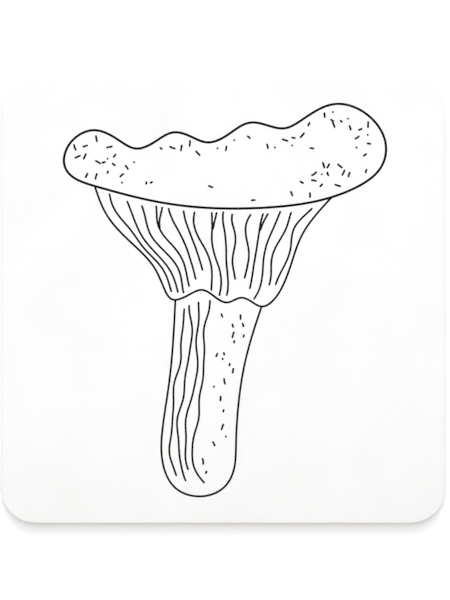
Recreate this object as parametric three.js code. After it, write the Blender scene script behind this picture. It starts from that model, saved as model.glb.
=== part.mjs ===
// A square drinks coaster: a gloss-coated hardboard tile with a cork pad glued under it.
// Millimetres, +Z up. The origin is the centre of the cork's underside, where the coaster rests,
// and +Y points to the top of the printed face.
import * as THREE from "three";

// Driving dimensions.
const SIDE = 95; // the board, edge to edge
const CORNER_RADIUS = 7.5; // the board's corners, seen from above
const CORNER_FACETS = 24; // facets round each quarter-turn corner

const CORK_THICKNESS = 1.5;
const CORK_INSET = 0.3; // the pad is cut this far inside the board's edge
const CORK_EDGE_RADIUS = 0.2; // its lower edge is rubbed round

const GLUE_THICKNESS = 0.1;
const GLUE_INSET = 0.5; // the film stops short of the cork's cut edge

const BOARD_THICKNESS = 3;
const BOARD_EASE = 0.15; // chamfer sanded on the board's lower edge

const COAT_THICKNESS = 0.2;
const COAT_EDGE_RADIUS = 0.15; // its upper edge is buffed round

const ROUND_FACETS = 4; // facets across a rounded edge

// The layers stand on each other, from the table up.
const GLUE_BASE = CORK_THICKNESS;
const BOARD_BASE = GLUE_BASE + GLUE_THICKNESS;
const COAT_BASE = BOARD_BASE + BOARD_THICKNESS;

// The square outline with round corners, taken in by inset on every side, anticlockwise.
function roundedSquare(inset) {
  const half = SIDE / 2 - inset;
  const radius = CORNER_RADIUS - inset;
  const arcCentre = half - radius;
  const quarter = Math.PI / 2;
  const points = [];
  for (let corner = 0; corner < 4; corner++) {
    const start = corner * quarter;
    const towards = start + quarter / 2;
    const x = Math.sign(Math.cos(towards)) * arcCentre;
    const y = Math.sign(Math.sin(towards)) * arcCentre;
    const arc = new THREE.EllipseCurve(x, y, radius, radius, start, start + quarter);
    points.push(...arc.getPoints(CORNER_FACETS));
  }
  return points;
}

// A closed plate through the outlines at each [inset, height], listed from its underside to its top.
function plate(sections) {
  const outlines = sections.map(([inset]) => roundedSquare(inset));
  const count = outlines[0].length;
  const positions = outlines.flatMap((outline, level) =>
    outline.flatMap((point) => [point.x, point.y, sections[level][1]]),
  );
  const faces = [];
  for (let level = 0; level + 1 < sections.length; level++) {
    for (let i = 0; i < count; i++) {
      const a = level * count + i;
      const b = level * count + ((i + 1) % count);
      faces.push(a, b, b + count, a, b + count, a + count);
    }
  }
  const top = (sections.length - 1) * count;
  for (const [a, b, c] of THREE.ShapeUtils.triangulateShape(outlines[0], [])) {
    faces.push(c, b, a);
  }
  for (const [a, b, c] of THREE.ShapeUtils.triangulateShape(outlines.at(-1), [])) {
    faces.push(top + a, top + b, top + c);
  }
  const geometry = new THREE.BufferGeometry();
  geometry.setAttribute("position", new THREE.Float32BufferAttribute(positions, 3));
  geometry.setIndex(faces);
  geometry.computeVertexNormals();
  return geometry;
}

// The sections of a quarter-round edge between a flat face and the wall, starting at the flat face.
function quarterRound(radius, inset, faceHeight, inwards) {
  const sections = [];
  for (let i = 0; i <= ROUND_FACETS; i++) {
    const turn = (i / ROUND_FACETS) * (Math.PI / 2);
    const edgeInset = inset + radius * (1 - Math.sin(turn));
    const height = faceHeight + inwards * radius * (1 - Math.cos(turn));
    sections.push([edgeInset, height]);
  }
  return sections;
}

// One layer of the coaster: a named mesh that stands at its own height.
function layer(name, geometry, base, look) {
  const mesh = new THREE.Mesh(geometry, new THREE.MeshStandardMaterial(look));
  mesh.name = name;
  mesh.position.z = base;
  return mesh;
}

const corkPad = layer(
  "cork_pad",
  plate([...quarterRound(CORK_EDGE_RADIUS, CORK_INSET, 0, 1), [CORK_INSET, CORK_THICKNESS]]),
  0,
  { color: 0xd29d78, roughness: 0.9, metalness: 0 },
);

const glueFilm = layer(
  "glue_film",
  plate([
    [GLUE_INSET, 0],
    [GLUE_INSET, GLUE_THICKNESS],
  ]),
  GLUE_BASE,
  { color: 0xe6dcc0, roughness: 0.4, metalness: 0 },
);

const hardboardCore = layer(
  "hardboard_core",
  plate([
    [BOARD_EASE, 0],
    [0, BOARD_EASE],
    [0, BOARD_THICKNESS],
  ]),
  BOARD_BASE,
  { color: 0x7d5a3c, roughness: 0.7, metalness: 0 },
);

const glossCoat = layer(
  "gloss_coat",
  plate([[0, 0], ...quarterRound(COAT_EDGE_RADIUS, 0, COAT_THICKNESS, -1).reverse()]),
  COAT_BASE,
  { color: 0xfcfcfb, roughness: 0.15, metalness: 0 },
);

const coaster = new THREE.Group();
coaster.add(corkPad, glueFilm, hardboardCore, glossCoat);

export default coaster;
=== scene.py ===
"""A square drinks coaster: a gloss white printed tile of hardboard on a cork pad, in a plain studio."""

import logging
import math
from collections.abc import Sequence
from dataclasses import dataclass, field
from enum import Enum

import bpy
import numpy as np
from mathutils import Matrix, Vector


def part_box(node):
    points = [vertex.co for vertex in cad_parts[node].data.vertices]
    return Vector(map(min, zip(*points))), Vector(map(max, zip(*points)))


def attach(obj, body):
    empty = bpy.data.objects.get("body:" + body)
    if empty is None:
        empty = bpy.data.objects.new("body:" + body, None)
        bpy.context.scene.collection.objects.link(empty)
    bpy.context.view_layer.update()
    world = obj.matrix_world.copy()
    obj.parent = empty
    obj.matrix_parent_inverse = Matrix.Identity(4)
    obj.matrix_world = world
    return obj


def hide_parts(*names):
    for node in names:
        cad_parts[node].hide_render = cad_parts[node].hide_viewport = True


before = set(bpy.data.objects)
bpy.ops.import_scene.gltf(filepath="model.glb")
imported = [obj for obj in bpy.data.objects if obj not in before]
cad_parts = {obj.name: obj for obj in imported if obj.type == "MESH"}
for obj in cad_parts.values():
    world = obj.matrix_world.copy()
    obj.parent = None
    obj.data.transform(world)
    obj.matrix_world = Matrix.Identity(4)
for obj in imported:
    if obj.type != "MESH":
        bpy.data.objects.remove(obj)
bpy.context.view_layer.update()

log = logging.getLogger("coaster")

MM = 0.001
BODY = "root"
CORNER_RADIUS = 7.5 * MM  # the board's corners, seen from above
HOLLOW = "hollow"  # the cork's attribute that says how deep each point is sunk
RANGE_SOCKETS = ("From Min", "From Max", "To Min", "To Max")

Colour = tuple[float, float, float]
Span = tuple[float, float]
Stops = tuple[tuple[float, Colour], ...]


# ---------------------------------------------------------------- patterns in space

CELL_OFFSET = 100000  # makes the coordinates of every cell positive
CELL_FACTORS = np.array([73856093, 19349663, 83492791], np.uint64)
SEED_FACTOR = 2654435761
MIXING = (
    (33, 0xFF51AFD7ED558CCD),
    (29, 0xC4CEB9FE1A85EC53),
    (32, 0x9E3779B97F4A7C15),
)  # each step's shift and factor
HASH_BITS = 64
KEPT_BITS = 24


def eased(t: np.ndarray) -> np.ndarray:
    """Turns an even rise from 0 to 1 into one that starts and ends level: 3t^2 - 2t^3."""
    return t * t * (3 - 2 * t)


def ramp(values: np.ndarray, low: float, high: float) -> np.ndarray:
    """Rises from 0 at low to 1 at high, starting and ending level."""
    return eased(np.clip((values - low) / (high - low), 0, 1))


def hash01(cells: np.ndarray, seed: int) -> np.ndarray:
    """Turns whole-number cell coordinates into even random numbers by integer mixing.

    Args:
        cells: integer array whose last axis holds x, y and z.
        seed: picks one of many unrelated sets of numbers.

    Returns:
        One number from 0 to 1 for each cell.
    """
    keys = (cells.astype(np.int64) + CELL_OFFSET).astype(np.uint64) * CELL_FACTORS
    mixed = keys[..., 0] ^ keys[..., 1] ^ keys[..., 2] ^ np.uint64(seed * SEED_FACTOR)
    for shift, factor in MIXING:
        mixed = (mixed ^ (mixed >> np.uint64(shift))) * np.uint64(factor)
    return (mixed >> np.uint64(HASH_BITS - KEPT_BITS)).astype(float) / float(1 << KEPT_BITS)


def smooth_noise(points: np.ndarray, cell: Sequence[float], seed: int) -> np.ndarray:
    """Smooth random relief: the random numbers at a cell's eight corners, blended by 3t^2 - 2t^3.

    Args:
        points: positions in metres, x, y and z on the last axis.
        cell: size of a cell along x, y and z, in metres.
        seed: picks the random numbers.

    Returns:
        Values from -1 to 1.
    """
    scaled = points / np.asarray(cell)
    base = np.floor(scaled).astype(np.int64)
    blend = eased(scaled - base)
    total = np.zeros(points.shape[:-1])
    for corner in np.ndindex(2, 2, 2):
        weight = np.prod(np.where(np.array(corner) == 1, blend, 1 - blend), axis=-1)
        total += weight * hash01(base + np.array(corner), seed)
    return total * 2 - 1


@dataclass
class Granules:
    """Crushed granules pressed together: each point belongs to its nearest random seed.

    One seed lies in each cube of the given size. The distances to the nearest two seeds say how
    far a point is from its granule's middle and from the joint with the next granule.
    """

    size: float
    seed: int

    def at(self, points: np.ndarray) -> tuple[np.ndarray, np.ndarray, np.ndarray]:
        """Looks up the granule that holds each point.

        Args:
            points: positions in metres, x, y and z on the last axis.

        Returns:
            The distance to the granule's middle, how much further the next granule's middle is
            (both in metres), and the granule's own random number from 0 to 1.
        """
        scaled = points / self.size
        home = np.floor(scaled).astype(np.int64)
        nearest = np.full(points.shape[:-1], np.inf)
        second = nearest.copy()
        tone = np.zeros(points.shape[:-1])
        for step in np.ndindex(3, 3, 3):
            cell = home + np.array(step) - 1
            jitter = [hash01(cell, self.seed + axis) for axis in range(3)]
            gap = np.linalg.norm(cell + np.stack(jitter, -1) - scaled, axis=-1)
            closer = gap < nearest
            second = np.where(closer, nearest, np.minimum(second, gap))
            tone = np.where(closer, hash01(cell, self.seed + 3), tone)
            nearest = np.where(closer, gap, nearest)
        return nearest * self.size, (second - nearest) * self.size, tone


# ---------------------------------------------------------------- outlines and surfaces


@dataclass(frozen=True)
class RoundedSquare:
    """A square outline with round corners, centred on the origin, in metres."""

    half: float
    radius: float

    def inset(self, by: float) -> "RoundedSquare":
        """The outline that lies the same way inside this one all round."""
        return RoundedSquare(self.half - by, self.radius - by)

    def loop(self, spacing: float) -> tuple[np.ndarray, np.ndarray]:
        """Walks the outline anticlockwise from the lower end of its right side.

        Each quarter is a straight stretch x = half, then an arc about the corner's centre at an
        angle of distance / radius. The other quarters are the first one turned by 90 degrees.

        Args:
            spacing: distance between points along the outline, before rounding to a whole count.

        Returns:
            The points and their outward normals, each with x and y on the last axis.
        """
        straight = 2 * (self.half - self.radius)
        quarter = straight + self.radius * math.pi / 2
        count = 4 * round(quarter / spacing)
        along = np.arange(count) * 4 * quarter / count
        turns, rest = np.divmod(along, quarter)
        turn = 1j**turns
        centre = (self.half - self.radius) * (1 + 1j)
        normal = np.exp(1j * np.maximum(rest - straight, 0) / self.radius)
        side = self.half + 1j * (rest - straight / 2)
        point = np.where(rest < straight, side, centre + self.radius * normal) * turn
        normal = normal * turn
        return np.stack([point.real, point.imag], -1), np.stack([normal.real, normal.imag], -1)

    def patch(self, straight_cells: int, corner_cells: int) -> np.ndarray:
        """Fills the outline with a grid of nearly square cells.

        Lines of the grid are straight, and the grid's square corners are pressed into the round
        ones: with u and v from 0 to 1 across a corner, x = u sqrt(1 - v^2 / 2) and
        y = v sqrt(1 - u^2 / 2).

        Args:
            straight_cells: cells along a side's straight stretch.
            corner_cells: cells along each side of a corner.

        Returns:
            A square array of points, with x and y on the last axis.
        """
        inner = self.half - self.radius
        corner = np.linspace(0, 1, corner_cells + 1)[1:]
        middle = np.linspace(-inner, inner, straight_cells + 1)
        flat = np.concatenate([-inner - self.radius * corner[::-1], middle, inner + self.radius * corner])
        x, y = np.meshgrid(flat, flat, indexing="ij")
        u = np.maximum(np.abs(x) - inner, 0) / self.radius
        v = np.maximum(np.abs(y) - inner, 0) / self.radius
        x = np.where(u > 0, np.sign(x) * (inner + self.radius * u * np.sqrt(1 - v * v / 2)), x)
        y = np.where(v > 0, np.sign(y) * (inner + self.radius * v * np.sqrt(1 - u * u / 2)), y)
        return np.stack([x, y], -1)

    def normals(self, points: np.ndarray) -> np.ndarray:
        """The outward direction at points on the outline.

        It leads away from the nearest point of the square that the corners' centres make.

        Args:
            points: points on the outline, x and y on the last axis.

        Returns:
            Unit vectors in the same layout.
        """
        inner = self.half - self.radius
        away = points - np.clip(points, -inner, inner)
        return away / np.linalg.norm(away, axis=-1, keepdims=True)


def lift(loop: np.ndarray, height: np.ndarray | float) -> np.ndarray:
    """Gives points in the plane a height."""
    return np.concatenate([loop, np.broadcast_to(height, loop.shape[:-1])[..., None]], -1)


def carry(loop: np.ndarray, normal: np.ndarray, grow: np.ndarray, height: np.ndarray) -> np.ndarray:
    """Carries a profile round a loop: row k is the loop moved outwards by grow[k], at height[k]."""
    return lift(loop[None] + normal[None] * grow[:, None, None], height[:, None])


def rim(count: int) -> np.ndarray:
    """The indices of a count by count grid's border, anticlockwise seen from +Z."""
    grid = np.arange(count * count).reshape(count, count)
    return np.concatenate([grid[:-1, 0], grid[-1, :-1], grid[:0:-1, -1], grid[0, :0:-1]])


class Surface:
    """A mesh being put together from grids of points."""

    def __init__(self) -> None:
        """Starts with no points and no faces."""
        self.points: list[np.ndarray] = []
        self.faces: list[list[int]] = []
        self.count = 0

    def add_points(self, points: np.ndarray) -> np.ndarray:
        """Adds points.

        Args:
            points: positions in metres, x, y and z on the last axis.

        Returns:
            Their indices, in the same layout.
        """
        flat = points.reshape(-1, 3)
        indices = np.arange(self.count, self.count + len(flat)).reshape(points.shape[:-1])
        self.points.append(flat)
        self.count += len(flat)
        return indices

    def add_quads(self, rows: np.ndarray, wrap: bool = False, flip: bool = False) -> None:
        """Joins rows of indices into quads.

        Args:
            rows: indices, one row for each line of the grid.
            wrap: whether each row closes on itself.
            flip: whether the faces look the other way.
        """
        if wrap:
            rows = np.concatenate([rows, rows[:, :1]], axis=1)
        quads = np.stack([rows[:-1, :-1], rows[:-1, 1:], rows[1:, 1:], rows[1:, :-1]], -1).reshape(-1, 4)
        self.faces += (quads[:, ::-1] if flip else quads).tolist()

    def add_cap(self, loop: np.ndarray, flip: bool = False) -> None:
        """Closes a loop of indices with one flat face."""
        self.faces.append((loop[::-1] if flip else loop).tolist())

    def add_tube(self, points: np.ndarray) -> None:
        """Adds a wall through rows of points, with a flat face at either end.

        Args:
            points: the rows, each a closed loop.
        """
        rows = self.add_points(points)
        self.add_quads(rows, wrap=True)
        self.add_cap(rows[0], flip=True)
        self.add_cap(rows[-1])

    def add_dish(self, sheet: np.ndarray, wall: np.ndarray, flip: bool = False) -> None:
        """Adds a sheet, the wall that goes on from its border, and the flat face that closes them.

        Args:
            sheet: a square grid of points.
            wall: rows of points that follow the sheet's border, starting at the row next to it.
            flip: whether the faces look the other way.
        """
        rows = self.add_points(sheet)
        self.add_quads(rows, flip=flip)
        levels = self.add_points(wall)
        border = rows.reshape(-1)[rim(len(sheet))]
        self.add_quads(np.concatenate([border[None], levels]), wrap=True, flip=flip)
        self.add_cap(levels[-1], flip=flip)

    def mesh(self, name: str, finish: "Finish") -> bpy.types.Mesh:
        """Makes the mesh and gives it its finish.

        Args:
            name: the mesh's name.
            finish: what its surface is made of.

        Returns:
            The mesh.
        """
        mesh = bpy.data.meshes.new(name)
        mesh.from_pydata(np.concatenate(self.points), [], self.faces)
        mesh.polygons.foreach_set("use_smooth", np.full(len(mesh.polygons), True))
        mesh.materials.append(finish.material())
        mesh.update()
        return mesh

    def build(self, name: str, slot: str, finish: "Finish") -> bpy.types.Object:
        """Makes a piece of the coaster that rides on its body.

        Args:
            name: the object's name.
            slot: a material slot's name; not used.
            finish: what its surface is made of.

        Returns:
            The finished object, at the origin.
        """
        piece = link(name, self.mesh(name, finish))
        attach(piece, BODY)
        log.info("%s: %d faces", name, len(piece.data.polygons))
        return piece


def link(name: str, data: bpy.types.ID) -> bpy.types.Object:
    """Puts a mesh, lamp or camera into the scene as an object.

    Args:
        name: the object's name.
        data: the mesh, lamp or camera.

    Returns:
        The object, at the origin.
    """
    made = bpy.data.objects.new(name, data)
    bpy.context.scene.collection.objects.link(made)
    return made


# ---------------------------------------------------------------- finishes

NOISE_SPAN = (0.3, 0.7)  # nearly all of a noise's values lie in here
NODE_SPACING = 180


class Socket(Enum):
    """Sockets of the surface shader that the finishes set."""

    COLOUR = "Base Color"
    ROUGHNESS = "Roughness"
    NORMAL = "Normal"
    COAT = "Coat Weight"
    COAT_ROUGHNESS = "Coat Roughness"
    SHEEN = "Sheen Weight"
    SHEEN_ROUGHNESS = "Sheen Roughness"


class Maths(Enum):
    """Ways to combine two numbers."""

    ADD = "ADD"
    SUBTRACT = "SUBTRACT"
    MULTIPLY = "MULTIPLY"
    LARGER = "MAXIMUM"


class Cells(Enum):
    """What a pattern of cells is asked for: each cell's own colour, or the distance to its edge."""

    COLOUR = "F1"
    EDGE = "DISTANCE_TO_EDGE"


class Graph:
    """A material's nodes, laid out left to right as they are added."""

    def __init__(self, name: str) -> None:
        """Makes a material that holds only a surface shader and its output.

        Args:
            name: the material's name.
        """
        self.material = bpy.data.materials.new(name)
        self.material.use_nodes = True
        self.tree = self.material.node_tree
        self.tree.nodes.clear()
        self.shader = self.node("ShaderNodeBsdfPrincipled")
        output = self.node("ShaderNodeOutputMaterial")
        self.tree.links.new(self.shader.outputs["BSDF"], output.inputs["Surface"])
        self.place = self.node("ShaderNodeTexCoord").outputs["Object"]

    def node(self, kind: str, **settings: object) -> bpy.types.Node:
        """Adds a node.

        Args:
            kind: Blender's name for the kind of node.
            settings: its plain settings, by name.

        Returns:
            The node.
        """
        made = self.tree.nodes.new(kind)
        made.location.x = NODE_SPACING * len(self.tree.nodes)
        for name, value in settings.items():
            setattr(made, name, value)
        return made

    def feed(self, socket: bpy.types.NodeSocket, value: object) -> None:
        """Links a socket to another node's output, or sets it to a constant.

        Args:
            socket: the socket that takes the value.
            value: another node's output, or the constant.
        """
        if isinstance(value, bpy.types.NodeSocket):
            self.tree.links.new(value, socket)
        else:
            socket.default_value = value

    def set(self, socket: Socket, value: object) -> None:
        """Feeds one of the surface shader's sockets."""
        self.feed(self.shader.inputs[socket.value], value)

    def height(self) -> bpy.types.NodeSocket:
        """Reads off how high each place lies.

        Returns:
            The height in metres.
        """
        split = self.node("ShaderNodeSeparateXYZ")
        self.feed(split.inputs[0], self.place)
        return split.outputs["Z"]

    def stretch(self, sizes: tuple[float, float, float]) -> bpy.types.NodeSocket:
        """Scales positions so that a feature of given sizes becomes one unit across.

        Args:
            sizes: the feature's size along x, y and z, in metres.

        Returns:
            The scaled positions.
        """
        mapping = self.node("ShaderNodeMapping")
        self.feed(mapping.inputs["Vector"], self.place)
        mapping.inputs["Scale"].default_value = [1 / size for size in sizes]
        return mapping.outputs["Vector"]

    def noise_node(self, scale: float, detail: float, vector: object = None) -> bpy.types.Node:
        """Adds cloudy noise.

        Args:
            scale: how many of its patches lie along a metre, or along a unit of vector.
            detail: how many finer layers it has.
            vector: the positions that it reads, if not the plain ones.

        Returns:
            The noise's node.
        """
        noise = self.node("ShaderNodeTexNoise")
        self.feed(noise.inputs["Vector"], vector or self.place)
        noise.inputs["Scale"].default_value = scale
        noise.inputs["Detail"].default_value = detail
        return noise

    def noise(self, size: float, detail: float = 2) -> bpy.types.NodeSocket:
        """Cloudy noise from 0 to 1 whose patches are about size metres across."""
        return self.noise_node(1 / size, detail).outputs["Fac"]

    def ramp(self, factor: bpy.types.NodeSocket, stops: Stops) -> bpy.types.NodeSocket:
        """Turns a factor into a colour.

        Args:
            factor: a number from 0 to 1.
            stops: positions along it, and the colours there.

        Returns:
            The colour.
        """
        ramp = self.node("ShaderNodeValToRGB")
        elements = ramp.color_ramp.elements
        while len(elements) < len(stops):
            elements.new(0.5)
        for element, (position, colour) in zip(elements, stops):
            element.position = position
            element.color = (*colour, 1)
        self.feed(ramp.inputs["Fac"], factor)
        return ramp.outputs["Color"]

    def spread(self, value: bpy.types.NodeSocket, span: Span, to: Span = (0, 1)) -> bpy.types.NodeSocket:
        """Maps one span of values onto another, and holds it at the ends.

        Args:
            value: the number to map.
            span: the values that stand for the new span's ends.
            to: the new span.

        Returns:
            The mapped number.
        """
        mapped = self.node("ShaderNodeMapRange", clamp=True)
        self.feed(mapped.inputs["Value"], value)
        for name, number in zip(RANGE_SOCKETS, (*span, *to)):
            mapped.inputs[name].default_value = number
        return mapped.outputs["Result"]

    def maths(self, how: Maths, first: object, second: object) -> bpy.types.NodeSocket:
        """Combines two numbers.

        Args:
            how: the way to combine them.
            first: a node's output or a constant.
            second: a node's output or a constant.

        Returns:
            The result.
        """
        made = self.node("ShaderNodeMath", operation=how.value)
        self.feed(made.inputs[0], first)
        self.feed(made.inputs[1], second)
        return made.outputs[0]

    def mix(self, factor: object, first: object, second: object) -> bpy.types.NodeSocket:
        """Mixes two colours.

        Args:
            factor: the second colour's share.
            first: a node's output or a plain colour.
            second: a node's output or a plain colour.

        Returns:
            The mixed colour.
        """
        made = self.node("ShaderNodeMix", data_type="RGBA")
        self.feed(made.inputs["Factor"], factor)
        for name, value in (("A", first), ("B", second)):
            socket = next(s for s in made.inputs if s.name == name and s.type == "RGBA")
            self.feed(socket, value if isinstance(value, bpy.types.NodeSocket) else (*value, 1))
        return next(s for s in made.outputs if s.type == "RGBA")

    def bump(self, height: bpy.types.NodeSocket, depth: float, under: object = None) -> bpy.types.NodeSocket:
        """Adds a bump.

        Args:
            height: its pattern, from 0 to 1.
            depth: how deep the pattern goes, in metres.
            under: another bump that it lies over.

        Returns:
            The bent normal.
        """
        made = self.node("ShaderNodeBump")
        made.inputs["Strength"].default_value = 1.0
        made.inputs["Distance"].default_value = depth
        self.feed(made.inputs["Height"], height)
        if under:
            self.feed(made.inputs["Normal"], under)
        return made.outputs["Normal"]


class Finish:
    """What a surface is made of."""

    name = "finish"

    def material(self) -> bpy.types.Material:
        """Makes the finish's material.

        Returns:
            The material, with all its nodes.
        """
        graph = Graph(self.name)
        self.dress(graph)
        return graph.material

    def dress(self, graph: Graph) -> None:
        """Adds this finish's nodes to a graph."""
        raise NotImplementedError


@dataclass(frozen=True)
class Gloss:
    """The gloss over white and ink alike: patches of finer polish, and a faint orange peel."""

    roughness: Span
    patch: float = 9 * MM
    peel: float = 1.3 * MM
    peel_depth: float = 0.0012 * MM

    def lay(self, graph: Graph) -> None:
        """Varies the polish and adds the orange peel.

        Args:
            graph: the material's nodes.
        """
        polish = graph.noise(self.patch, detail=4)
        graph.set(Socket.ROUGHNESS, graph.spread(polish, NOISE_SPAN, self.roughness))
        graph.set(Socket.NORMAL, graph.bump(graph.noise(self.peel, detail=1), self.peel_depth))


@dataclass(frozen=True)
class GlossCoat(Finish):
    """White print coat: bright, faintly mottled, and darkened by painted shade over its rolled edge.

    It has no painted shade down to roll[1] below the top, and the most from roll[0] below the top.
    """

    name = "white_gloss_coat"
    top: float
    whites: Stops = ((0.35, (0.803, 0.801, 0.788)), (0.75, (0.785, 0.783, 0.768)))
    mottle: float = 14 * MM
    # painted shade over the rolled edge, and the largest share of it
    painted_edge_shade: Colour = (0.385, 0.380, 0.360)
    edge_shade_most: float = 0.5
    roll: Span = (0.12 * MM, 0.01 * MM)
    varnish: float = 0.35
    varnish_roughness: float = 0.08
    gloss: Gloss = Gloss((0.13, 0.21))

    def dress(self, graph: Graph) -> None:
        """Mottles the white, darkens it with painted shade where it rolls over the edge, and lays the gloss
        on it.

        Args:
            graph: the material's nodes.
        """
        mottled = graph.ramp(graph.noise(self.mottle), self.whites)
        edge = (self.top - self.roll[0], self.top - self.roll[1])
        # painted shade: grey mixed into the white over the rolled edge
        edge_shade = graph.spread(graph.height(), edge, (self.edge_shade_most, 0))
        graph.set(Socket.COLOUR, graph.mix(edge_shade, mottled, self.painted_edge_shade))
        graph.set(Socket.COAT, self.varnish)
        graph.set(Socket.COAT_ROUGHNESS, self.varnish_roughness)
        self.gloss.lay(graph)


@dataclass(frozen=True)
class PrintInk(Finish):
    """Black dye under the same gloss, a little uneven in density."""

    name = "black_print_ink"
    density: Stops = ((0.35, (0.002, 0.002, 0.002)), (0.75, (0.006, 0.006, 0.006)))
    mottle: float = 0.8 * MM
    gloss: Gloss = Gloss((0.15, 0.24))

    def dress(self, graph: Graph) -> None:
        """Varies the ink's density and lays the gloss on it."""
        graph.set(Socket.COLOUR, graph.ramp(graph.noise(self.mottle, detail=3), self.density))
        self.gloss.lay(graph)


@dataclass(frozen=True)
class SawnHardboard(Finish):
    """The board's sawn edge: pressed brown fibre in thin layers, with white overspray at the top.

    The overspray's lower edge is ragged: it wanders by ragged metres, in patches as wide as that.
    """

    name = "sawn_hardboard"
    top: float
    dark: Colour = (0.110, 0.060, 0.034)
    browns: Stops = ((0.28, dark), (0.5, (0.235, 0.132, 0.076)), (0.74, (0.400, 0.255, 0.155)))
    fibre: tuple[float, float, float] = (1.6 * MM, 1.6 * MM, 0.16 * MM)
    fibre_depth: float = 0.05 * MM
    speck: float = 0.28 * MM
    speck_span: Span = (0.62, 0.72)
    overspray: Colour = (0.72, 0.70, 0.66)
    overspray_depth: float = 0.45 * MM
    overspray_cover: float = 0.75
    ragged: float = 0.5 * MM
    fuzz: float = 0.12 * MM
    fuzz_depth: float = 0.02 * MM
    roughness: Span = (0.72, 0.92)

    def sprayed(self, graph: Graph) -> bpy.types.NodeSocket:
        """How much of the white coat lies on each place below the board's upper edge.

        Args:
            graph: the material's nodes.

        Returns:
            The overspray's share.
        """
        wander = graph.maths(Maths.MULTIPLY, graph.noise(self.ragged, detail=3), self.ragged)
        level = graph.maths(Maths.ADD, graph.height(), wander)
        full = self.top + self.ragged / 2
        cover = graph.spread(level, (full - self.overspray_depth, full))
        return graph.maths(Maths.MULTIPLY, cover, self.overspray_cover)

    def dress(self, graph: Graph) -> None:
        """Layers the fibres, specks them, and lets the white coat run a little over the top edge.

        Args:
            graph: the material's nodes.
        """
        fibres = graph.noise_node(1, 5, graph.stretch(self.fibre)).outputs["Fac"]
        specks = graph.spread(graph.noise(self.speck), self.speck_span)
        colour = graph.mix(specks, graph.ramp(fibres, self.browns), self.dark)
        graph.set(Socket.COLOUR, graph.mix(self.sprayed(graph), colour, self.overspray))
        graph.set(Socket.ROUGHNESS, graph.spread(fibres, NOISE_SPAN, self.roughness))
        layers = graph.bump(fibres, self.fibre_depth)
        graph.set(Socket.NORMAL, graph.bump(graph.noise(self.fuzz), self.fuzz_depth, layers))


@dataclass(frozen=True)
class DriedGlue(Finish):
    """Dried adhesive: creamy and half shiny, with small bubbles."""

    name = "dried_glue"
    creams: Stops = ((0.35, (0.68, 0.60, 0.42)), (0.7, (0.50, 0.38, 0.20)))
    cloud: float = 3 * MM
    smear: float = 1.5 * MM
    roughness: Span = (0.3, 0.5)
    bubble: float = 0.4 * MM
    bubble_depth: float = 0.02 * MM

    def dress(self, graph: Graph) -> None:
        """Clouds the colour, smears the shine and dimples the surface.

        Args:
            graph: the material's nodes.
        """
        graph.set(Socket.COLOUR, graph.ramp(graph.noise(self.cloud, detail=3), self.creams))
        graph.set(Socket.ROUGHNESS, graph.spread(graph.noise(self.smear), NOISE_SPAN, self.roughness))
        graph.set(Socket.NORMAL, graph.bump(graph.noise(self.bubble), self.bubble_depth))


@dataclass(frozen=True)
class Tint:
    """A colour that some granules take: none of it up to start, and most of it at a chance of 1."""

    colour: Colour
    start: float
    most: float

    def over(self, graph: Graph, chance: object, colour: object) -> bpy.types.NodeSocket:
        """Tints a colour by each granule's chance, a random number from 0 to 1."""
        return graph.mix(graph.spread(chance, (self.start, 1), (0, self.most)), colour, self.colour)


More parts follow.
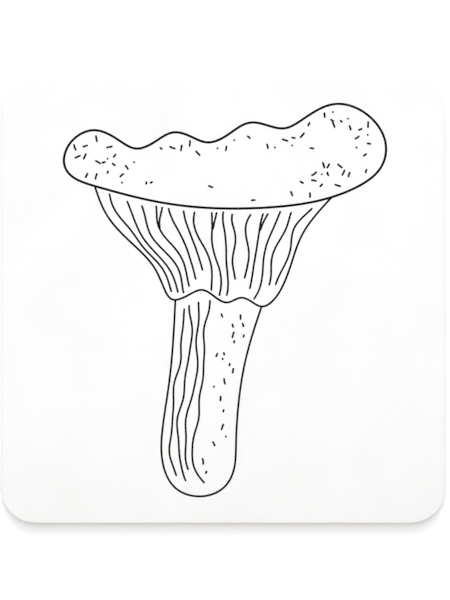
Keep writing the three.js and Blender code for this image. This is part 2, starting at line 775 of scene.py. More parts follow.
@dataclass(frozen=True)
class PressedCork(Finish):
    """Pressed cork granules: each its own tan, with dark bark specks, pale flecks, faint joints and painted
    shade in torn-out hollows.

    The tone's shares are those of a granule, its grit and a fine mottle. Joint sizes are in granules.
    """

    name = "pressed_cork"
    granule: float = 1.35 * MM
    grit: float = 0.55 * MM
    outline_waves: float = 1.8
    outline_reach: float = 0.9
    mottle: float = 0.35 * MM
    tone_shares: tuple[float, float, float] = (0.36, 0.34, 0.55)
    tone_shift: float = 0.135
    tans: Stops = (
        (0.12, (0.330, 0.140, 0.066)),
        (0.26, (0.440, 0.205, 0.102)),
        (0.40, (0.550, 0.272, 0.150)),
        (0.60, (0.680, 0.372, 0.220)),
        (0.78, (0.830, 0.520, 0.345)),
        (0.90, (0.900, 0.680, 0.510)),
    )
    orange: Tint = Tint((0.640, 0.265, 0.110), 0.6, 0.5)
    pink: Tint = Tint((0.660, 0.395, 0.265), 0.6, 0.42)
    fleck: Tint = Tint((0.900, 0.670, 0.470), 0.9, 0.75)
    # dark bark colour, also used for the painted shade in the hollows
    bark_and_shade: Colour = (0.125, 0.046, 0.020)
    speck: float = 0.5 * MM
    speck_span: Span = (0.55, 0.65)
    speck_cover: float = 0.95
    cluster: float = 2.4 * MM
    cluster_span: Span = (0.35, 0.65)
    cluster_hold: Span = (0.10, -0.03)
    joint_patch: float = 1.1 * MM
    joint_span: Span = (0.45, 0.7)
    joint_reach: float = 0.09
    joint_fade: float = 0.06
    joint_cover: float = 0.5
    # how the painted shade in the hollows follows their depth
    hollow_crumble: float = 2.0
    hollow_span: Span = (1.35, 1.9)
    hollow_shade_cover: float = 0.6
    bark_depth: float = 0.06 * MM
    grain: float = 0.16 * MM
    grain_depth: float = 0.03 * MM
    roughness_span: Span = (0.2, 0.9)
    roughness: Span = (0.95, 0.8)
    sheen: float = 0.12
    sheen_roughness: float = 0.6

    def granules(self, graph: Graph, size: float, asked: Cells) -> bpy.types.Node:
        """Adds a pattern of granules whose outlines are roughened.

        The pattern is read at place + outline_reach size (noise - 0.5), and that noise has
        outline_waves patches to a granule.

        Args:
            graph: the material's nodes.
            size: how wide a granule is, in metres.
            asked: what the pattern is asked for.

        Returns:
            The pattern's node.
        """
        wander = graph.noise_node(self.outline_waves / size, 4)
        centred = graph.node("ShaderNodeVectorMath", operation="SUBTRACT")
        graph.feed(centred.inputs[0], wander.outputs["Color"])
        centred.inputs[1].default_value = (0.5,) * 3
        moved = graph.node("ShaderNodeVectorMath", operation="MULTIPLY_ADD")
        graph.feed(moved.inputs[0], centred.outputs[0])
        moved.inputs[1].default_value = (self.outline_reach * size,) * 3
        graph.feed(moved.inputs[2], graph.place)
        cells = graph.node("ShaderNodeTexVoronoi", feature=asked.value)
        graph.feed(cells.inputs["Vector"], moved.outputs[0])
        cells.inputs["Scale"].default_value = 1 / size
        return cells

    def chances(self, graph: Graph, size: float) -> list[bpy.types.NodeSocket]:
        """Gives every granule three random numbers.

        Args:
            graph: the material's nodes.
            size: how wide a granule is, in metres.

        Returns:
            The three numbers, each from 0 to 1.
        """
        split = graph.node("ShaderNodeSeparateColor")
        graph.feed(split.inputs[0], self.granules(graph, size, Cells.COLOUR).outputs["Color"])
        return list(split.outputs)

    def tone(self, graph: Graph, large: object, small: object) -> bpy.types.NodeSocket:
        """How pale each place is: its granule's share, its grit's and a fine mottle's, less the shift.

        Args:
            graph: the material's nodes.
            large: its granule's random number.
            small: its grit's random number.

        Returns:
            A number from about 0 to 1.
        """
        parts = (large, small, graph.noise(self.mottle, detail=4))
        shares = [graph.maths(Maths.MULTIPLY, *pair) for pair in zip(parts, self.tone_shares)]
        total = graph.maths(Maths.ADD, graph.maths(Maths.ADD, shares[0], shares[1]), shares[2])
        return graph.maths(Maths.SUBTRACT, total, self.tone_shift)

    def specks(self, graph: Graph, ragged: object) -> bpy.types.NodeSocket:
        """Ragged specks of bark, held back between their clusters and helped inside them.

        Args:
            graph: the material's nodes.
            ragged: ragged noise.

        Returns:
            The specks' share.
        """
        hold = graph.spread(graph.noise(self.cluster), self.cluster_span, self.cluster_hold)
        shown = graph.maths(Maths.SUBTRACT, ragged, hold)
        return graph.spread(shown, self.speck_span, (0, self.speck_cover))

    def joints(self, graph: Graph) -> bpy.types.NodeSocket:
        """The dark joints between granules, which come and go in patches.

        Args:
            graph: the material's nodes.

        Returns:
            The joints' share.
        """
        edge = self.granules(graph, self.granule, Cells.EDGE).outputs["Distance"]
        reach = graph.spread(graph.noise(self.joint_patch), self.joint_span, (0, self.joint_reach))
        shown = graph.maths(Maths.SUBTRACT, reach, edge)
        return graph.spread(shown, (0, self.joint_fade), (0, self.joint_cover))

    def hollow_shade(self, graph: Graph, ragged: object) -> bpy.types.NodeSocket:
        """Painted shade in the hollows where granules are torn out, darker the deeper they are sunk, with a
        crumbling border.

        Args:
            graph: the material's nodes.
            ragged: ragged noise.

        Returns:
            The painted shade's share.
        """
        # painted shade: the deeper a point is sunk, the darker it is coloured
        hollow = graph.node("ShaderNodeAttribute", attribute_name=HOLLOW).outputs["Fac"]
        crumbled = graph.maths(Maths.ADD, hollow, graph.maths(Maths.MULTIPLY, ragged, self.hollow_crumble))
        return graph.spread(crumbled, self.hollow_span, (0, self.hollow_shade_cover))

    def darkness(self, graph: Graph) -> bpy.types.NodeSocket:
        """How dark each place is: the most that the bark specks, the joints or the painted shade in the
        hollows ask for.

        Args:
            graph: the material's nodes.

        Returns:
            The share of the bark colour and painted shade.
        """
        ragged = graph.noise(self.speck, detail=5)
        most = graph.maths(Maths.LARGER, self.specks(graph, ragged), self.joints(graph))
        return graph.maths(Maths.LARGER, most, self.hollow_shade(graph, ragged))

    def dress(self, graph: Graph) -> None:
        """Colours granules and grit, then adds flecks, bark, painted shade in the hollows, a sheen and a
        grainy bump.

        Args:
            graph: the material's nodes.
        """
        large, small = self.chances(graph, self.granule), self.chances(graph, self.grit)
        tone = self.tone(graph, large[0], small[1])
        colour = self.orange.over(graph, large[1], graph.ramp(tone, self.tans))
        colour = self.pink.over(graph, large[2], colour)
        colour = self.fleck.over(graph, small[2], colour)
        # bark specks and joints, and painted shade in the torn-out hollows
        dark = self.darkness(graph)
        graph.set(Socket.COLOUR, graph.mix(dark, colour, self.bark_and_shade))
        graph.set(Socket.ROUGHNESS, graph.spread(tone, self.roughness_span, self.roughness))
        graph.set(Socket.SHEEN, self.sheen)
        graph.set(Socket.SHEEN_ROUGHNESS, self.sheen_roughness)
        pits = graph.bump(graph.maths(Maths.SUBTRACT, 1.0, dark), self.bark_depth)
        graph.set(Socket.NORMAL, graph.bump(graph.noise(self.grain, detail=3), self.grain_depth, pits))


@dataclass(frozen=True)
class StudioFloor(Finish):
    """Plain white paper sweep, very faintly clouded."""

    name = "white_sweep"
    whites: Stops = ((0.3, (0.942, 0.966, 0.966)), (0.8, (0.928, 0.951, 0.951)))
    cloud: float = 0.4
    roughness: float = 0.9

    def dress(self, graph: Graph) -> None:
        """Clouds the white and keeps it matte."""
        graph.set(Socket.COLOUR, graph.ramp(graph.noise(self.cloud), self.whites))
        graph.set(Socket.ROUGHNESS, self.roughness)


# ---------------------------------------------------------------- the coaster's layers


@dataclass
class Layer:
    """One layer of the coaster: its outline, and the heights of its underside and its top."""

    outline: RoundedSquare
    base: float
    top: float


@dataclass
class Cork(Layer):
    """The cork pad: granules standing a little proud or torn out, on its underside and its cut wall."""

    edge: float = 0.2 * MM
    edge_rows: int = 3
    straight_cells: int = 248
    corner_cells: int = 19
    wall_rows: int = 6
    granule: float = 1.15 * MM
    wander: float = 0.22 * MM
    wander_cell: float = 0.7 * MM
    joint_depth: float = 0.05 * MM
    joint_width: float = 0.16 * MM
    torn_depth: float = 0.16 * MM
    torn_above: float = 0.93
    torn_span: Span = (0.2, 0.6)
    crumb: float = 0.35 * MM
    crumb_depth: float = 0.008 * MM
    unevenness: float = 0.02 * MM
    border_share: float = 0.5
    hollow: Span = (0.04 * MM, 0.16 * MM)
    bend_seeds: tuple[int, int, int] = (31, 32, 33)
    granule_seed: int = 41
    crumb_seed: int = 34

    def relief(self, points: np.ndarray) -> np.ndarray:
        """How deep the surface lies under its cut plane.

        A joint between granules is a groove, a granule's own random number sets how low it lies,
        and about one granule in fourteen is torn out to a bowl, deepest in its middle.

        Args:
            points: positions on the cut plane, in metres.

        Returns:
            Depths in metres.
        """
        bends = [smooth_noise(points, (self.wander_cell,) * 3, seed) for seed in self.bend_seeds]
        bent = points + np.stack(bends, -1) * self.wander
        middle, joint, tone = Granules(self.granule, self.granule_seed).at(bent)
        groove = self.joint_depth * (1 - ramp(joint, 0, self.joint_width))
        bowl = 1 - ramp(middle / self.granule, *self.torn_span)
        torn = self.torn_depth * (tone > self.torn_above) * bowl
        crumbs = self.crumb_depth * (1 + smooth_noise(points, (self.crumb,) * 3, self.crumb_seed))
        return groove + torn + crumbs + self.unevenness * tone

    def build(self) -> bpy.types.Object:
        """Lays the underside's grid, carries its border up the wall, sinks the relief and closes it.

        The rounded lower edge grows outwards by edge sin(a) and climbs by edge (1 - cos(a)).

        Returns:
            The cork, with how hollow each point is in its attribute.
        """
        floor = self.outline.inset(self.edge)
        sheet = floor.patch(self.straight_cells, self.corner_cells)
        border = rim(len(sheet))
        start = sheet.reshape(-1, 2)[border]
        normal = floor.normals(start)
        angles = np.linspace(0, math.pi / 2, self.edge_rows + 1)[1:]
        grow = np.concatenate([self.edge * np.sin(angles), np.full(self.wall_rows, self.edge)])
        climb = np.linspace(self.base + self.edge, self.top, self.wall_rows + 1)[1:]
        height = np.concatenate([self.base + self.edge * (1 - np.cos(angles)), climb])
        under = lift(sheet, self.base)
        wall = carry(start, normal, grow, height)
        under_depth, wall_depth = self.relief(under), self.relief(wall)
        under_depth.reshape(-1)[border] *= self.border_share
        wall_depth[-1] = 0
        under[..., 2] += under_depth
        wall[..., :2] -= normal[None] * wall_depth[..., None]
        surface = Surface()
        surface.add_dish(under, wall)
        piece = surface.build("cork_base", "cork", PressedCork())
        depths = np.concatenate([under_depth.reshape(-1), wall_depth.reshape(-1)])
        attribute = piece.data.attributes.new(HOLLOW, "FLOAT", "POINT")
        attribute.data.foreach_set("value", ramp(depths, *self.hollow))
        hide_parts("cork_pad")
        return piece


@dataclass
class Glue(Layer):
    """The adhesive film, whose edge wanders where it was squeezed out."""

    wander: float = 0.12 * MM
    wander_cell: float = 2.5 * MM
    bulge: float = 0.02 * MM
    spacing: float = 0.6 * MM
    seed: int = 21

    def build(self) -> bpy.types.Object:
        """Carries a slightly bulging wall round the wandering outline and closes it.

        Returns:
            The glue.
        """
        loop, normal = self.outline.loop(self.spacing)
        wave = smooth_noise(lift(loop, 0.0), (self.wander_cell,) * 3, self.seed)
        loop = loop + normal * (self.wander * wave)[:, None]
        heights = np.array([self.base, (self.base + self.top) / 2, self.top])
        surface = Surface()
        surface.add_tube(carry(loop, normal, np.array([0, self.bulge, 0]), heights))
        piece = surface.build("glue_line", "glue", DriedGlue())
        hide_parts("glue_film")
        return piece


@dataclass
class Board(Layer):
    """The hardboard tile: flat faces, an eased lower edge and a sawn, fibrous wall."""

    ease: float = 0.15 * MM
    ease_rows: int = 4
    wall_rows: int = 16
    spacing: float = 0.4 * MM
    fuzz: float = 0.022 * MM
    fibre: tuple[float, float, float] = (1.4 * MM, 1.4 * MM, 0.3 * MM)
    fibre_share: float = 0.35
    fibre_seed: int = 11
    chatter: tuple[float, float, float] = (0.9 * MM, 0.9 * MM, 6 * MM)
    chatter_share: float = 0.15
    chatter_seed: int = 12

    def profile(self) -> tuple[np.ndarray, np.ndarray]:
        """The way from the underside, round the eased edge and up the wall.

        Returns:
            How far inside the outline each step lies, and its height.
        """
        angles = np.linspace(0, math.pi / 2, self.ease_rows)
        climb = np.linspace(self.base + self.ease, self.top, self.wall_rows)[1:]
        inset = np.concatenate([self.ease * (1 - np.sin(angles)), np.zeros_like(climb)])
        return inset, np.concatenate([self.base + self.ease * (1 - np.cos(angles)), climb])

    def build(self) -> bpy.types.Object:
        """Carries the profile round the outline, sinks the sawn relief into it and closes it.

        The relief is the fuzz times 0.5 plus the shares of fibres and of the saw's chatter, which
        both go from -1 to 1.

        Returns:
            The board.
        """
        loop, normal = self.outline.loop(self.spacing)
        inset, height = self.profile()
        wall = carry(loop, normal, -inset, height)
        fibres = smooth_noise(wall, self.fibre, self.fibre_seed)
        chatter = smooth_noise(wall, self.chatter, self.chatter_seed)
        depth = self.fuzz * (0.5 + self.fibre_share * fibres + self.chatter_share * chatter)
        depth[[0, -1]] = 0
        wall[..., :2] -= normal[None] * depth[..., None]
        surface = Surface()
        surface.add_tube(wall)
        piece = surface.build("board", "hardboard", SawnHardboard(self.top))
        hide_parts("hardboard_core")
        return piece


@dataclass
class PrintedFace(Layer):
    """The white gloss face: a faintly wavy sheet with a buffed upper edge."""

    edge: float = 0.15 * MM
    edge_rows: int = 6
    straight_cells: int = 82
    corner_cells: int = 10
    wave: float = 0.003 * MM
    wave_cell: float = 12 * MM
    seed: int = 51

    def build(self) -> bpy.types.Object:
        """Lays the face's grid, rolls its border over the edge and closes the underside.

        The rolled edge grows outwards by edge sin(a) and falls by edge (1 - cos(a)).

        Returns:
            The printed face.
        """
        flat = self.outline.inset(self.edge)
        sheet = flat.patch(self.straight_cells, self.corner_cells)
        face = lift(sheet, self.top)
        inner = face[1:-1, 1:-1]
        inner[..., 2] -= self.wave * (1 + smooth_noise(inner, (self.wave_cell,) * 3, self.seed))
        start = sheet.reshape(-1, 2)[rim(len(sheet))]
        angles = np.linspace(0, math.pi / 2, self.edge_rows)[1:]
        grow = np.append(self.edge * np.sin(angles), self.edge)
        height = np.append(self.top - self.edge * (1 - np.cos(angles)), self.base)
        surface = Surface()
        surface.add_dish(face, carry(start, flat.normals(start), grow, height), flip=True)
        piece = surface.build("printed_face", "coat", GlossCoat(self.top))
        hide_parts("gloss_coat")
        return piece


# ---------------------------------------------------------------- the drawing

CURVE_SAMPLES = 24  # points worked out along each stretch of a pen line


def path_length(line: np.ndarray) -> np.ndarray:
    """How far along a line each of its points lies."""
    return np.concatenate([[0], np.cumsum(np.linalg.norm(np.diff(line, axis=0), axis=1))])


def walk(line: np.ndarray, along: np.ndarray, stops: np.ndarray) -> np.ndarray:
    """The places at some distances along a line, given how far along each of its points lies."""
    return np.stack([np.interp(stops, along, line[:, axis]) for axis in range(2)], -1)


def pen_curve(points: Sequence[Span], closed: bool = False, step: float = 0.25) -> np.ndarray:
    """A smooth pen line through a few points.

    Each stretch is a uniform cubic B-spline of four neighbouring guides, with the weights
    (1-t)^3, 3t^3-6t^2+4, -3t^3+3t^2+3t+1 and t^3, all over 6. The guides are solved for first, so
    that the line passes through the points: one sixth of a guide's two neighbours and four sixths
    of itself make its point. The line is then cut into even steps along its length.

    Args:
        points: points of the line in millimetres.
        closed: whether the line comes back to its start.
        step: length of a step in millimetres.

    Returns:
        Points along the line, x and y on the last axis. A closed line doesn't repeat its start.
    """
    count = len(points)
    blend = np.eye(count) * 4 + np.eye(count, k=1) + np.eye(count, k=-1)
    if closed:
        blend[0, -1] = blend[-1, 0] = 1
    else:
        blend[[0, -1]] = 0
        blend[0, 0] = blend[-1, -1] = 6
    guide = np.linalg.solve(blend / 6, np.asarray(points, float))
    if closed:
        guide = np.concatenate([guide[-1:], guide, guide[:2]])
    else:
        guide = np.concatenate([2 * guide[:1] - guide[1:2], guide, 2 * guide[-1:] - guide[-2:-1]])
    t = np.linspace(0, 1, CURVE_SAMPLES, endpoint=False)[:, None]
    weights = ((1 - t) ** 3, 3 * t**3 - 6 * t**2 + 4, -3 * t**3 + 3 * t**2 + 3 * t + 1, t**3)
    spans = len(guide) - 3
    stretches = sum(w * guide[i : i + spans, None] for i, w in enumerate(weights)) / 6
    line = np.concatenate([stretches.reshape(-1, 2), np.asarray(points, float)[[0 if closed else -1]]])
    along = path_length(line)
    line = walk(line, along, np.linspace(0, along[-1], max(4, round(along[-1] / step)) + 1))
    return line[:-1] if closed else line


def inside(points: np.ndarray, outline: np.ndarray) -> np.ndarray:
    """Whether points lie inside a closed outline: a ray to the right crosses it an odd number of times.

    Args:
        points: the points, x and y on the last axis.
        outline: the outline's points, in order.

    Returns:
        True or false for each point.
    """
    a, b = outline, np.roll(outline, -1, axis=0)
    x, y = points[..., None, 0], points[..., None, 1]
    crosses = (a[:, 1] > y) != (b[:, 1] > y)
    rise = np.where(b[:, 1] == a[:, 1], 1, b[:, 1] - a[:, 1])
    at = a[:, 0] + (y - a[:, 1]) * (b[:, 0] - a[:, 0]) / rise
    return (crosses & (x < at)).sum(-1) % 2 == 1


def distance_to(points: np.ndarray, line: np.ndarray) -> np.ndarray:
    """Distance from each point to the nearest point of a line."""
    return np.linalg.norm(points[..., None, :] - line, axis=-1).min(-1)


@dataclass(frozen=True)
class Band:
    """A band along the inside of an outline, by how deep inside it its middle lies and its width."""

    depth: float
    width: float

    def share(self, gap: np.ndarray) -> np.ndarray:
        """Fades to both sides as exp(-((gap - depth) / width)^2), gap being the way to the outline."""
        return np.exp(-(((gap - self.depth) / self.width) ** 2))


@dataclass(frozen=True)
class Ridges:
    """The ridges that run down the funnel.

    Ridge i starts with the share (i + first) / (count + slack) of the way from the left flank to
    the right one. Spans are the ranges that each ridge draws its own value from.
    """

    count: int = 15
    first: float = 0.8
    slack: float = 0.6
    shake: Span = (-0.15, 0.15)
    turns: Span = (1.2, 2.2)
    sway: Span = (0.14, 0.28)
    top: Span = (0.5, 1.4)
    feet: tuple[float, ...] = (0.7, 1.4, 2.4, 4.0)
    forked: tuple[int, ...] = (3, 7, 11)
    fork_drift: float = 0.6
    fork_length: float = 0.44
    fork_gap: float = 0.06
    samples: int = 160


@dataclass(frozen=True)
class StemLines:
    """The long lines down the left of the stem: each one's upper and lower end, and their waves.

    A wave is sin(y pace + phase) times its reach. Each line shifts the pace and draws the phase.
    """

    ends: tuple[Span, ...] = ((-1.6, -37.5), (-0.9, -38.6), (-0.2, -36.2), (0.2, -39.0))
    margin: float = 1.7
    gap: float = 1.75
    waves: tuple[Span, ...] = ((0.24, 0.30), (0.47, 0.24), (0.83, 0.11))
    pace_shift: Span = (0.9, 1.1)
    phase: Span = (0, 6)
    samples: int = 180


@dataclass(frozen=True)
class Dashes:
    """The dashes that shade the cap and the stem, scattered from a shaken grid.

    Grids are given by their lower and upper corners. A lean is the widest turn away from upright,
    in radians. Other spans are the places between which the odds rise from none to all.
    """

    pitch: float = 2.0
    shake: float = 0.36
    margin: float = 1.35
    reaches: tuple[float, ...] = (0.22, 0.38, 0.5, 0.62, 0.75)
    bend: float = 0.12
    samples: int = 8
    cap_grid: tuple[Span, Span] = ((-35, 19), (36, 43))
    cap_lean: float = 1.5
    left_lobe: Span = (12, 20)
    left_odds: float = 0.72
    upper_rim: Span = (28, 32)
    rim_band: Band = Band(2.6, 2.4)
    rim_odds: float = 0.72
    right_lobe: Span = (10, 20)
    right_band: Band = Band(3.0, 2.9)
    right_odds: float = 0.80
    stray_odds: float = 0.02
    stem_grid: tuple[Span, Span] = ((-6, -39), (9, -2))
    stem_lean: float = 0.55
    stem_slant: float = 0.12
    stem_side: Span = (-1.8, 2.4)
    stem_top: Span = (-16, -6)
    stem_odds: float = 0.85
    stem_low_share: float = 0.42


@dataclass
class PrintedDrawing:
    """A pen drawing of a funnel-shaped wild mushroom, printed on the face.

    Lengths are in millimetres from the middle of the face, with y up the drawing. A pen line
    stands proud of the face and reaches sunk below it. Its top is flat over crown of its width,
    and its shoulders stand at shoulder of its height.
    """

    face: float
    cap_pen: float = 0.51
    stem_pen: float = 0.44
    ridge_pen: float = 0.42
    proud: float = 0.006
    sunk: float = 0.02
    crown: float = 0.7
    shoulder: float = 0.4
    tip_rows: int = 4
    tip_start: float = 0.02
    underside_below: float = 27
    hem: Span = (-11.8, 9.6)
    ridges: Ridges = Ridges()
    stem_lines: StemLines = StemLines()
    dashes: Dashes = Dashes()
    seed: int = 5
    strokes: list[tuple[np.ndarray, float, bool]] = field(default_factory=list)

    def cap(self) -> np.ndarray:
        """Lays out the cap, clockwise from its left end over four rounded lobes.

        Returns:
            Points along its closed outline.
        """
        return pen_curve([
            (-34.0, 29.8), (-32.2, 34.2), (-27.6, 36.4), (-22.8, 34.6), (-18.8, 32.5), (-14.8, 33.8),
            (-10.8, 35.9), (-6.8, 35.0), (-3.2, 33.8), (0.8, 35.3), (5.2, 37.9), (9.6, 37.4),
            (13.6, 36.9), (18.0, 39.4), (24.0, 42.0), (30.4, 40.0), (34.4, 34.8), (34.0, 29.0),
            (29.2, 24.6), (20.6, 21.4), (9.6, 19.9), (-3.0, 19.8), (-15.0, 21.3), (-25.4, 23.9),
            (-31.8, 26.2),
        ], closed=True)

    def funnel(self) -> np.ndarray:
        """Lays out the funnel: down its left flank, along a scalloped hem, and up its right flank.

        Returns:
            Points along its line.
        """
        return pen_curve([
            (-27.4, 24.4), (-24.4, 17.6), (-19.0, 11.8), (-14.8, 7.2), (-12.6, 2.6), (-10.6, 0.2),
            (-7.4, 1.2), (-4.6, 2.3), (-2.0, 1.0), (0.8, -0.4), (3.6, 0.6), (6.2, -0.3), (8.8, -1.2),
            (12.0, 1.8), (14.6, 8.0), (17.4, 15.0), (23.2, 22.1),
        ])

    def stem(self) -> np.ndarray:
        """Lays out the stem: down its left side, round its foot and up its right side.

        Returns:
            Points along its line.
        """
        return pen_curve([
            (-10.2, 0.2), (-10.7, -9.0), (-11.6, -18.0), (-12.9, -27.0), (-13.0, -34.0), (-10.6, -39.6),
            (-5.4, -41.8), (-0.2, -40.2), (2.4, -35.6), (2.8, -29.0), (3.4, -21.0), (4.6, -13.5),
            (6.4, -6.8), (8.2, -1.3),
        ])

    def draw(self, line: np.ndarray, pen: float, closed: bool = False) -> None:
        """Adds a stroke to the drawing."""
        self.strokes.append((line, pen, closed))

    def draw_ridges(self, chance: np.random.Generator) -> None:
        """Draws the ridges that run down the funnel, some of them forked towards the cap.

        A ridge is a mix of the two flanks by its share u, with a wave across it that fades at
        both ends. It is cut off below the cap's edge and above the hem. A fork drifts away from
        its ridge over the fork's length, and starts where the two are a gap apart.

        Args:
            chance: the random numbers.
        """
        plan = self.ridges
        t = np.linspace(0, 1, plan.samples)
        cap, funnel = self.cap(), self.funnel()
        brim = cap[cap[:, 1] < self.underside_below]
        brim = brim[np.argsort(brim[:, 0])]
        left = funnel[: np.argmax(funnel[:, 0] > self.hem[0])]
        right = funnel[np.argmax(funnel[:, 0] > self.hem[1]) :][::-1]
        hem = funnel[len(left) : len(funnel) - len(right)]
        left, right = [side[np.round(t * (len(side) - 1)).astype(int)] for side in (left, right)]
        shares = plan.count + plan.slack
        for i in range(plan.count):
            share = (i + plan.first + chance.uniform(*plan.shake)) / shares
            turns = chance.uniform(*plan.turns) * t + chance.uniform(0, 1)
            sway = chance.uniform(*plan.sway) * np.sin(2 * math.pi * turns) * np.sqrt(np.sin(math.pi * t))
            top = chance.uniform(*plan.top)
            foot = chance.choice(plan.feet)
            for fork in (0.0, plan.fork_drift) if i in plan.forked else (0.0,):
                drift = fork * ramp(plan.fork_length - t, 0, plan.fork_length)
                u = (share + (sway + drift) / shares)[:, None]
                line = (1 - u) * left + u * right
                keep = line[:, 1] < np.interp(line[:, 0], brim[:, 0], brim[:, 1]) - top
                keep &= line[:, 1] > np.interp(line[:, 0], hem[:, 0], hem[:, 1]) + foot
                if fork:
                    keep &= drift > plan.fork_gap
                self.draw(line[keep], self.ridge_pen)

    def draw_stem_lines(self, chance: np.random.Generator) -> None:
        """Draws long wavering lines down the left of the stem, each at its own distance from its side.

        Args:
            chance: the random numbers.
        """
        plan = self.stem_lines
        stem = self.stem()
        left = stem[: np.argmin(stem[:, 1])]
        left = left[np.argsort(left[:, 1])]
        for i, (start, end) in enumerate(plan.ends):
            y = np.linspace(start, end, plan.samples)
            x = np.interp(y, left[:, 1], left[:, 0]) + plan.margin + plan.gap * i
            for pace, reach in plan.waves:
                pace = pace * chance.uniform(*plan.pace_shift)
                x = x + reach * np.sin(y * pace + chance.uniform(*plan.phase))
            self.draw(np.stack([x, y], -1), self.ridge_pen)

    def draw_dashes(
        self, where: np.ndarray, odds: np.ndarray, lean: float, chance: np.random.Generator
    ) -> None:
        """Draws short, slightly bent dashes at some of the given places.

        A dash is middle + reach t along + bend (1 - t^2) across, with t from -1 to 1.

        Args:
            where: candidate middles.
            odds: the chance that each is drawn.
            lean: the widest turn away from upright, in radians.
            chance: the random numbers.
        """
        t = np.linspace(-1, 1, self.dashes.samples)[:, None]
        for middle in where[chance.uniform(size=len(where)) < odds]:
            angle = math.pi / 2 + chance.uniform(-lean, lean)
            reach = chance.choice(self.dashes.reaches)
            bend = chance.uniform(-self.dashes.bend, self.dashes.bend)
            along = np.array([math.cos(angle), math.sin(angle)])
            across = np.array([-along[1], along[0]])
            self.draw(middle + reach * t * along + bend * (1 - t * t) * across, self.ridge_pen)

    def scatter(
        self, grid: tuple[Span, Span], outline: np.ndarray, chance: np.random.Generator
    ) -> tuple[np.ndarray, np.ndarray]:
        """Shakes the points of a grid, and keeps those well inside an outline.

        Args:
            grid: the grid's lower and upper corners.
            outline: the closed outline.
            chance: the random numbers.

        Returns:
            The points, and how far each is from the outline.
        """
        shake, pitch = self.dashes.shake, self.dashes.pitch
        x, y = np.meshgrid(*(np.arange(low, high, pitch) for low, high in zip(*grid)))
        spots = np.stack([x, y], -1).reshape(-1, 2)
        spots = spots + chance.uniform(-shake, shake, spots.shape) * pitch
        gap = distance_to(spots, outline)
        keep = inside(spots, outline) & (gap > self.dashes.margin)
        return spots[keep], gap[keep]

    def shade_cap(self, chance: np.random.Generator) -> None:
        """Scatters dashes over the cap's left lobe, along its upper rim and round its right lobe.

        Args:
            chance: the random numbers.
        """
        plan = self.dashes
        spots, gap = self.scatter(plan.cap_grid, self.cap(), chance)
        x, y = spots.T
        odds = (
            plan.left_odds * ramp(-x, *plan.left_lobe),
            plan.rim_odds * plan.rim_band.share(gap) * ramp(y, *plan.upper_rim),
            plan.right_odds * plan.right_band.share(gap) * ramp(x, *plan.right_lobe),
            np.full(len(x), plan.stray_odds),
        )
        self.draw_dashes(spots, np.maximum.reduce(odds), plan.cap_lean, chance)

    def shade_stem(self, chance: np.random.Generator) -> None:
        """Scatters dashes down the right of the stem, thickest under the hem.

        Args:
            chance: the random numbers.
        """
        plan = self.dashes
        spots, _ = self.scatter(plan.stem_grid, self.stem(), chance)
        x, y = spots.T
        low = plan.stem_low_share
        odds = plan.stem_odds * ramp(x - plan.stem_slant * y, *plan.stem_side)
        odds = odds * (low + (1 - low) * ramp(y, *plan.stem_top))
        self.draw_dashes(spots, odds, plan.stem_lean, chance)

    def ribbon(self, surface: Surface, line: np.ndarray, pen: float, closed: bool) -> None:
        """Adds a stroke as a thin closed ribbon with round ends.

        Across it, a low rise: out to the pen's half width, in to the crown's share of it at the
        top. Along it, half width = half pen times sqrt(1 - (1 - s)^2), s being the way from an
        end over half the pen, up to 1.

        Args:
            surface: the mesh that takes it.
            line: the stroke's middle line, in millimetres.
            pen: its width, in millimetres.
            closed: whether it comes back to its start.
        """
        half = pen / 2
        if closed:
            forward = np.roll(line, -1, axis=0) - np.roll(line, 1, axis=0)
            width = np.full(len(line), half)
        else:
            along = path_length(line)
            end = along[-1]
            tip = half * (1 - np.cos(np.linspace(0, math.pi / 2, self.tip_rows + 1)[:-1]))
            middle = along[(along > half) & (along < end - half)]
            stops = np.concatenate([tip, [half], middle, [end - half], (end - tip)[::-1]])
            line = walk(line, along, stops)
            s = np.clip(np.minimum(stops, end - stops) / half, self.tip_start, 1)
            width = half * np.sqrt(1 - (1 - s) ** 2)
            forward = np.gradient(line, axis=0)
        forward = forward / np.linalg.norm(forward, axis=1, keepdims=True)
        side = np.stack([forward[:, 1], -forward[:, 0]], -1)
        across = np.array([-1, -1, -self.crown, self.crown, 1, 1])
        shoulder = self.proud * self.shoulder
        rise = np.array([-self.sunk, shoulder, self.proud, self.proud, shoulder, -self.sunk])
        flat = line[:, None] + side[:, None] * (width[:, None] * across)[..., None]
        points = lift(flat, rise) * MM + np.array([0, 0, self.face])
        if closed:
            rows = surface.add_points(points)
            surface.add_quads(np.concatenate([rows, rows[:1]]), wrap=True)
        else:
            surface.add_tube(points)

    def build(self) -> bpy.types.Object:
        """Draws every stroke and makes them one piece.

        Returns:
            The drawing.
        """
        chance = np.random.default_rng(self.seed)
        self.draw(self.cap(), self.cap_pen, closed=True)
        self.draw(self.funnel(), self.stem_pen)
        self.draw(self.stem(), self.stem_pen)
        self.draw_ridges(chance)
        self.draw_stem_lines(chance)
        self.shade_cap(chance)
        self.shade_stem(chance)
        surface = Surface()
        for line, pen, closed in self.strokes:
            self.ribbon(surface, line, pen, closed)
        log.info("%d strokes", len(self.strokes))
        return surface.build("printed_drawing", "ink", PrintInk())


# ---------------------------------------------------------------- the studio


class Lamp(Enum):
    """Kinds of lamp."""

    PARALLEL = "SUN"
    SPOT = "SPOT"


@dataclass(frozen=True)
class Parallel:
    """Parallel light from behind or above, kept out of reflections.

    Its strength is in watts per square metre. Its elevation above the horizon, and the spread
    that softens its shadows, are in degrees.
    """

    name: str
    strength: float
    elevation: float
    spread: float

    def build(self) -> None:
        """Adds the lamp."""
        data = bpy.data.lights.new(self.name, Lamp.PARALLEL.value)
        data.energy = self.strength
        data.angle = math.radians(self.spread)
        lamp = link(self.name, data)
        lamp.rotation_euler.x = math.radians(self.elevation - 90)
        lamp.visible_glossy = False


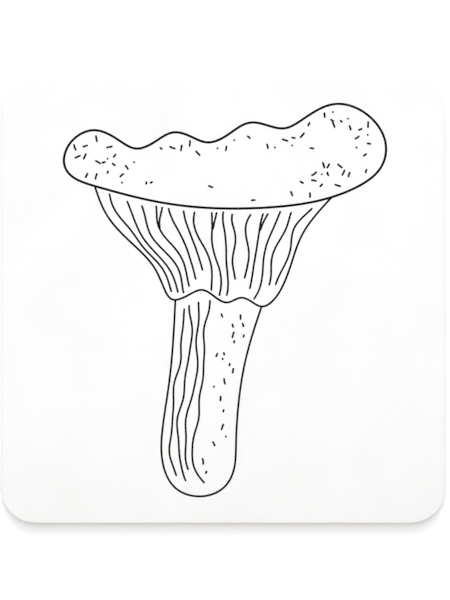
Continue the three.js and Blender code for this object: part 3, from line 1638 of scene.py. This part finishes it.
@dataclass(frozen=True)
class Pool:
    """A pool of light straight below a place, fading to nothing at its reach along x and y."""

    name: str
    watts: float
    place: tuple[float, float, float]
    reach: Span
    colour: Colour
    lamp_radius: float = 0.02

    def build(self) -> None:
        """Adds the lamp, with its round pool stretched along x."""
        data = bpy.data.lights.new(self.name, Lamp.SPOT.value)
        data.energy = self.watts
        data.color = self.colour
        data.spot_size = 2 * math.atan(self.reach[1] / self.place[2])
        data.spot_blend = 1.0
        data.shadow_soft_size = self.lamp_radius
        lamp = link(self.name, data)
        lamp.location = self.place
        lamp.scale.x = self.reach[0] / self.reach[1]
        lamp.visible_glossy = False


@dataclass(frozen=True)
class Surround:
    """The studio's surround: pale at the horizon and dim overhead.

    Its strength goes from the horizon's to the zenith's as the height of a direction's tip goes
    through the fade.
    """

    horizon: float = 0.9
    zenith: float = 0.1
    fade: Span = (0.1, 0.5)
    colour: Colour = (0.96, 0.98, 1.0)

    def build(self) -> None:
        """Makes the world and its fade."""
        world = bpy.data.worlds.new("surround")
        world.use_nodes = True
        nodes, links = world.node_tree.nodes, world.node_tree.links
        direction = nodes.new("ShaderNodeTexCoord")
        height = nodes.new("ShaderNodeSeparateXYZ")
        fade = nodes.new("ShaderNodeMapRange")
        fade.interpolation_type = "SMOOTHSTEP"
        for name, value in zip(RANGE_SOCKETS, (*self.fade, self.horizon, self.zenith)):
            fade.inputs[name].default_value = value
        links.new(direction.outputs["Generated"], height.inputs[0])
        links.new(height.outputs["Z"], fade.inputs["Value"])
        links.new(fade.outputs["Result"], nodes["Background"].inputs["Strength"])
        nodes["Background"].inputs["Color"].default_value = (*self.colour, 1)
        bpy.context.scene.world = world


@dataclass
class Studio:
    """A white sweep, soft light from behind and above, and a camera that looks straight down."""

    face: float
    width_seen: float = 96.1 * MM
    shift: Span = (0.40 * MM, 0.14 * MM)
    camera_height: float = 1.2
    sensor: float = 36.0
    tall: float = 600 / 450
    clip: Span = (0.01, 20)
    sweep: float = 3.0
    sweep_lines: int = 5
    lights: tuple[Parallel | Pool | Surround, ...] = (
        Parallel("key", 1.01, 60, 24),
        Parallel("lift", 0.66, 79, 14),
        Parallel("sky", 1.465, 90, 12),
        Pool("pool", 13.5, (0, 0.022, 1.5), (0.20, 0.10), (0.90, 0.94, 1.0)),
        Surround(),
    )

    def camera(self) -> None:
        """Hangs a long lens over the coaster that sees width_seen at the face's height."""
        data = bpy.data.cameras.new("camera")
        data.sensor_width = self.sensor
        data.lens = self.sensor * (self.camera_height - self.face) / (self.width_seen * self.tall)
        data.clip_start, data.clip_end = self.clip
        camera = link("camera", data)
        camera.location = (*self.shift, self.camera_height)
        bpy.context.scene.camera = camera

    def floor(self) -> None:
        """Lays the sweep under the coaster."""
        span = np.linspace(-self.sweep, self.sweep, self.sweep_lines)
        surface = Surface()
        rows = surface.add_points(lift(np.stack(np.meshgrid(span, span, indexing="ij"), -1), 0.0))
        surface.add_quads(rows, flip=True)
        floor = link("floor", surface.mesh("floor", StudioFloor()))

    def build(self) -> None:
        """Makes the camera, floor and lights, and shows colours as they are."""
        self.camera()
        self.floor()
        for light in self.lights:
            light.build()
        bpy.context.scene.view_settings.view_transform = "Standard"


# ---------------------------------------------------------------- the whole coaster

LAYERS = {"cork_pad": Cork, "glue_film": Glue, "hardboard_core": Board, "gloss_coat": PrintedFace}


def outline(half: float, board_half: float) -> RoundedSquare:
    """A layer's outline: its corners tighten by as much as it lies inside the board."""
    return RoundedSquare(half, CORNER_RADIUS - (board_half - half))


def main() -> None:
    """Builds the studio, then the coaster from the table up."""
    logging.basicConfig(level=logging.INFO, format="%(name)s: %(message)s")
    levels = {name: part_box(name) for name in LAYERS}
    face = levels["gloss_coat"][1].z
    board_half = levels["hardboard_core"][1].x
    Studio(face).build()
    for name, kind in LAYERS.items():
        low, high = levels[name]
        kind(outline(high.x, board_half), low.z, high.z).build()
    PrintedDrawing(face).build()


if __name__ == "__main__":
    main()
